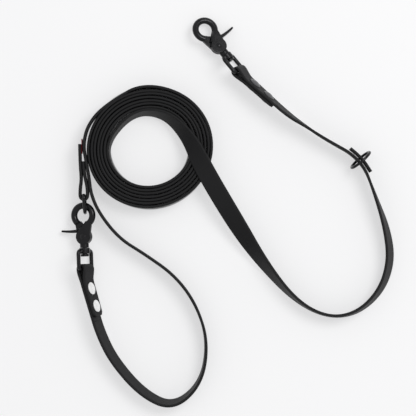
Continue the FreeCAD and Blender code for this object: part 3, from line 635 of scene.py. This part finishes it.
class LEASH_OT_coil(bpy.types.Operator):
    """The spare strap, wound on edge from the lead strap's end to the handle strap's start"""
    bl_idname = "leash.coil"
    bl_label = "Coil"

    def execute(self, context):
        """r = r0 + pitch * turns + stray * egg + looseness * sines, over the plan angle a.

        The egg is cos(a - pushed) + cos(2 (a - drawn out)).
        A cubic joins each end of the spiral to the free strap there, and the inner end's lean fades out.
        """
        coil = context.scene.leash_coil
        lead, handle = centreline(LEAD_ROUTE), centreline(HANDLE_ROUTE)
        count = int((COIL_TO - COIL_FROM) / COIL_STEP) + 1
        angle = np.radians(np.linspace(COIL_FROM, COIL_TO, count))
        turns = angle / (2 * math.pi)
        egg = np.cos(angle - COIL_PUSHED) + np.cos(2 * (angle - COIL_DRAWN_OUT))
        sines = (np.sin(angle * 1.37 + 0.6) + 0.7 * np.sin(angle * 2.31 + 2.0)
                 + 0.5 * np.sin(angle * 0.43 + 1.0))
        radius = coil.inner_radius + coil.pitch * turns + coil.stray * egg + coil.looseness * sines
        height = COIL_RISE * (1 + np.sin(angle * 0.71 + 0.4))
        wound = COIL_CENTRE + np.c_[radius * np.cos(angle), radius * np.sin(angle), height]
        inner = cubic(lead[0], lead[0] - lead[1], wound[0], wound[1] - wound[0], JOIN_POINTS)
        outer = cubic(wound[-1], wound[-1] - wound[-2], handle[0], handle[1] - handle[0], JOIN_POINTS)
        line = np.concatenate([inner[:-1], wound, outer[1:]])
        fade = np.clip(1 - travelled(line) / coil.straighten, 0.0, 1.0)
        mesh = strap_along("coil_strap", line, -math.radians(LEAD_ROUTE[0][3]) * fade)
        add_piece("coil_strap", mesh, coated_webbing(), "leash", ["strap_coil"])
        return {"FINISHED"}


def cubic(start, start_way, end, end_way, count):
    """Hermite cubic from start to end that leaves and arrives in the given directions."""
    t = np.linspace(0.0, 1.0, count)[:, None]
    span = np.linalg.norm(end - start)
    leave, arrive = normalised(start_way) * span, normalised(end_way) * span
    return ((2 * t ** 3 - 3 * t ** 2 + 1) * start + (t ** 3 - 2 * t ** 2 + t) * leave
            + (3 * t ** 2 - 2 * t ** 3) * end + (t ** 3 - t ** 2) * arrive)


# bar, plan angles and slopes of snap and strap, tilts at bar and tail, side of the tail
ENDS = {
    "lead": dict(bar=(19.0, 84.0, 12.6), plan=(129.3, 138.0), slope=(-5.0, -2.0),
                 tilt=(22.0, 15.0), tail=-1),
    "handle": dict(bar=(-111.5, -84.3, 12.0), plan=(92.3, 106.0), slope=(-1.5, 1.0),
                   tilt=(29.0, 25.0), tail=1),
}
END_LENGTH = 41.6 * MM
MAIN_LENGTH = 44.6 * MM
END_BEND = 14.0 * MM
EYE_LENGTH = 12.0 * MM
EYE_OFFSET = 3.15 * MM         # bar centre to the middle of the strap in the eye
CLIPPED = 2.6 * MM             # the tail's corners are cut off over this length
TAIL_END = 0.68                # share of the width left at the tail's end
SPINE_POINTS = 180
LAYER_POINTS = 60
EYE_POINTS = 19


def fold_line(plan, slope, tilt, bar, tail):
    """Centres, width and face directions of the strap from its main layer round the bar to the tail.

    The middle of the stack at distance d from the bar is bar - integral of h(d), with h turning from
    the snap's line to the strap's; each layer lies off it by an amount that grows into the eye.
    """
    strap = bpy.context.scene.leash_strap
    half_stack = (strap.thickness + strap.layer_gap) / 2
    grid = np.linspace(0.0, MAIN_LENGTH, SPINE_POINTS)

    def direction_at(distance):
        share = np.minimum(1.0, distance / END_BEND)
        turn = np.radians(plan[0] + (plan[1] - plan[0]) * share)
        rise = np.radians(slope[0] + (slope[1] - slope[0]) * share)
        return np.stack([np.cos(turn) * np.cos(rise), np.sin(turn) * np.cos(rise), np.sin(rise)], axis=-1)

    middles = direction_at((grid[1:] + grid[:-1]) / 2) * np.diff(grid)[:, None]
    spine = np.array(bar) * MM - np.concatenate([np.zeros((1, 3)), np.cumsum(middles, axis=0)])

    def layer(distance, side):
        point = np.stack([np.interp(distance, grid, spine[:, axis]) for axis in range(3)], axis=-1)
        direction = direction_at(distance)
        angle = np.radians(tilt[0] + (tilt[1] - tilt[0]) * distance / END_LENGTH)
        width = lean(direction, angle)
        face = np.cross(direction, width)
        share = np.maximum(0.0, 1.0 - distance / EYE_LENGTH)
        offset = half_stack + (EYE_OFFSET - half_stack) * share ** 2 * (3 - 2 * share)
        return point + face * (side * offset)[:, None], width, face * side

    main = layer(np.linspace(MAIN_LENGTH, 0.0, LAYER_POINTS), -tail)
    back = layer(np.linspace(0.0, END_LENGTH, LAYER_POINTS), tail)
    return main, back


class LEASH_OT_folds(bpy.types.Operator):
    """The strap's ends, folded round the bars of the snaps"""
    bl_idname = "leash.folds"
    bl_label = "Folded ends"

    def execute(self, context):
        """Round the bar the centre is bar + EYE_OFFSET * (f cos a + g sin a), a from 0 to 180 degrees."""
        for name, end in ENDS.items():
            main, back = fold_line(end["plan"], end["slope"], end["tilt"], end["bar"], end["tail"])
            face, width = main[2][-1], main[1][-1]
            side = np.cross(width, face)
            if np.dot(side, main[0][-1] - main[0][-8]) < 0:
                side = -side
            angle = np.linspace(0.0, math.pi, EYE_POINTS)[1:-1, None]
            spoke = face * np.cos(angle) + side * np.sin(angle)
            bar = np.array(end["bar"]) * MM
            centres = np.concatenate([main[0], bar + spoke * EYE_OFFSET, back[0]])
            widths = np.concatenate([main[1], np.broadcast_to(width, spoke.shape), back[1]])
            faces = np.concatenate([main[2], spoke, back[2]])
            length = travelled(centres)
            cut = np.clip((length[-1] - length) / CLIPPED, 0.0, 1.0)
            mesh = strap_mesh(name + "_fold", centres, widths, faces, TAIL_END + (1 - TAIL_END) * cut)
            add_piece(name + "_fold", mesh, coated_webbing(), "leash", [name + "_end_fold"])
        return {"FINISHED"}


class LEASH_OT_keeper(bpy.types.Operator):
    """The short strip outside the strap's bend, through the round ring"""
    bl_idname = "leash.keeper"
    bl_label = "Ring keeper"

    def execute(self, context):
        """An arc of the bend's circle, r = r0 + lift * |share| ** 4 towards its ends."""
        strap = context.scene.leash_strap
        level = np.zeros(KEEPER_POINTS)
        share = np.linspace(-1.0, 1.0, KEEPER_POINTS)
        angle = RING_SPOKE_ANGLE + KEEPER_HALF_SPAN * share
        radius = RING_BEND_RADIUS + strap.thickness + strap.layer_gap + KEEPER_LIFT * np.abs(share) ** 4
        line = RING_BEND + np.c_[radius * np.cos(angle), radius * np.sin(angle), level]
        ends = np.clip((1.0 - np.abs(share)) / 0.06, 0.0, 1.0)
        mesh = strap_along("keeper_strip", line, level, 0.93 + 0.07 * ends)
        add_piece("keeper_strip", mesh, coated_webbing(), "leash", ["ring_keeper"])
        return {"FINISHED"}


class LEASH_OT_tab(bpy.types.Operator):
    """The strip folded round the D-ring's bar, and the small tag beside it"""
    bl_idname = "leash.tab"
    bl_label = "D-ring tab and tag"

    def execute(self, context):
        plan = np.array(TAB_ROUTE) * MM
        line = spline_points(np.c_[plan, np.full(len(plan), STRAP_MIDDLE)])
        mesh = strap_along("tab_strip", line, np.zeros(len(line)))
        add_piece("tab_strip", mesh, coated_webbing(), "leash", ["dring_tab"])
        self.tag()
        return {"FINISHED"}

    def tag(self):
        """A strip of tape on edge: its centre line is x0 + wave * sin(pi * share), along +Y."""
        low, high = (np.array(corner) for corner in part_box("plain_tag"))
        share = np.linspace(0.0, 1.0, TAG_POINTS)
        x = (low[0] + high[0]) / 2 + TAG_WAVE * np.sin(share * math.pi)
        y = low[1] + (high[1] - low[1]) * share
        centres = np.c_[x, y, np.full(TAG_POINTS, (low[2] + high[2]) / 2)]
        outline = section(high[2] - low[2], TAG_THICKNESS, TAG_CORNER)
        rings = centres[:, None] + UP * outline[None, :, :1] + np.array([1.0, 0, 0]) * outline[None, :, 1:2]
        loop = np.concatenate([outline[:, :2], outline[:1, :2]])
        mesh = closed_tube("red_tag", rings, travelled(centres), travelled(loop), outline[None, :, 2])
        add_piece("red_tag", mesh, red_tape(), "leash", ["plain_tag"])


class LEASH_OT_fittings(bpy.types.Operator):
    """Rings, snaps and rivets: the frame's own pieces with their finishes"""
    bl_idname = "leash.fittings"
    bl_label = "Metal fittings"

    def execute(self, context):
        for name, node in NODES.items():
            if "rivet" in name:
                # Lead caps get the painted-shade copy, handle caps the painted-white copy of the same
                # nickel.
                caps = shaded_nickel if name.startswith("lead") else lit_nickel
                self.finish_node(node, caps())
            elif name.endswith("jaw_spring"):
                self.finish_node(node, spring_wire())
            elif "snap" in name or name.endswith("_ring"):
                self.finish_node(node, black_plating())
        return {"FINISHED"}

    def finish_node(self, node, material):
        for slot in node.material_slots:
            slot.material = material
        if not node.material_slots:
            node.data.materials.append(material)


class LEASH_OT_stage(bpy.types.Operator):
    """Pale floor and soft light"""
    bl_idname = "leash.stage"
    bl_label = "Stage"

    def execute(self, context):
        stage = context.scene.leash_stage
        mesh = bpy.data.meshes.new("floor")
        around = ((-1, -1), (1, -1), (1, 1), (-1, 1))
        mesh.from_pydata([(x * FLOOR_REACH, y * FLOOR_REACH, 0) for x, y in around], [], [(0, 1, 2, 3)])
        mesh.materials.append(pale_floor())
        floor = bpy.data.objects.new("floor", mesh)
        context.scene.collection.objects.link(floor)
        world = bpy.data.worlds.new("sky")
        world.use_nodes = True
        even = world.node_tree.nodes["Background"].inputs
        even["Color"].default_value = (1, 1, 1, 1)
        even["Strength"].default_value = stage.sky
        context.scene.world = world
        context.scene.view_settings.view_transform = "Standard"
        self.key_light(context, stage.key_power)
        return {"FINISHED"}

    def key_light(self, context, power):
        data = bpy.data.lights.new("key", "AREA")
        data.energy = power
        data.shape = "DISK"
        data.size = LAMP_SIZE
        lamp = bpy.data.objects.new("key", data)
        lamp.location = LAMP_PLACE
        lamp.rotation_euler = aimed(np.array(LAMP_TARGET) - np.array(LAMP_PLACE))
        context.scene.collection.objects.link(lamp)


def aimed(way):
    """Euler angles that turn -Z to this direction."""
    flat = math.hypot(way[0], way[1])
    return (math.atan2(flat, -way[2]), 0.0, math.atan2(-way[0], way[1]))


OPERATORS = (
    LEASH_OT_camera, LEASH_OT_lead_run, LEASH_OT_handle_run, LEASH_OT_coil, LEASH_OT_folds,
    LEASH_OT_keeper, LEASH_OT_tab, LEASH_OT_fittings, LEASH_OT_stage,
)


class LEASH_PT_panel(bpy.types.Panel):
    """Lists the leash's pieces and settings"""
    bl_idname = "LEASH_PT_panel"
    bl_label = "Training leash"
    bl_space_type = "VIEW_3D"
    bl_region_type = "UI"
    bl_category = "Leash"

    def draw(self, context):
        for operator in OPERATORS:
            self.layout.operator(operator.bl_idname)
        for group in GROUPS:
            box = self.layout.box()
            settings = getattr(context.scene, group)
            for key in settings.__annotations__:
                box.prop(settings, key)


def register():
    for group, kind in GROUPS.items():
        bpy.utils.register_class(kind)
        setattr(bpy.types.Scene, group, bpy.props.PointerProperty(type=kind))
    for kind in OPERATORS + (LEASH_PT_panel,):
        bpy.utils.register_class(kind)


def unregister():
    for kind in reversed(OPERATORS + (LEASH_PT_panel,)):
        bpy.utils.unregister_class(kind)
    for group, kind in GROUPS.items():
        delattr(bpy.types.Scene, group)
        bpy.utils.unregister_class(kind)


def main():
    register()
    for operator in OPERATORS:
        family, name = operator.bl_idname.split(".")
        getattr(getattr(bpy.ops, family), name)()
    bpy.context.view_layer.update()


if __name__ == "__main__":
    main()
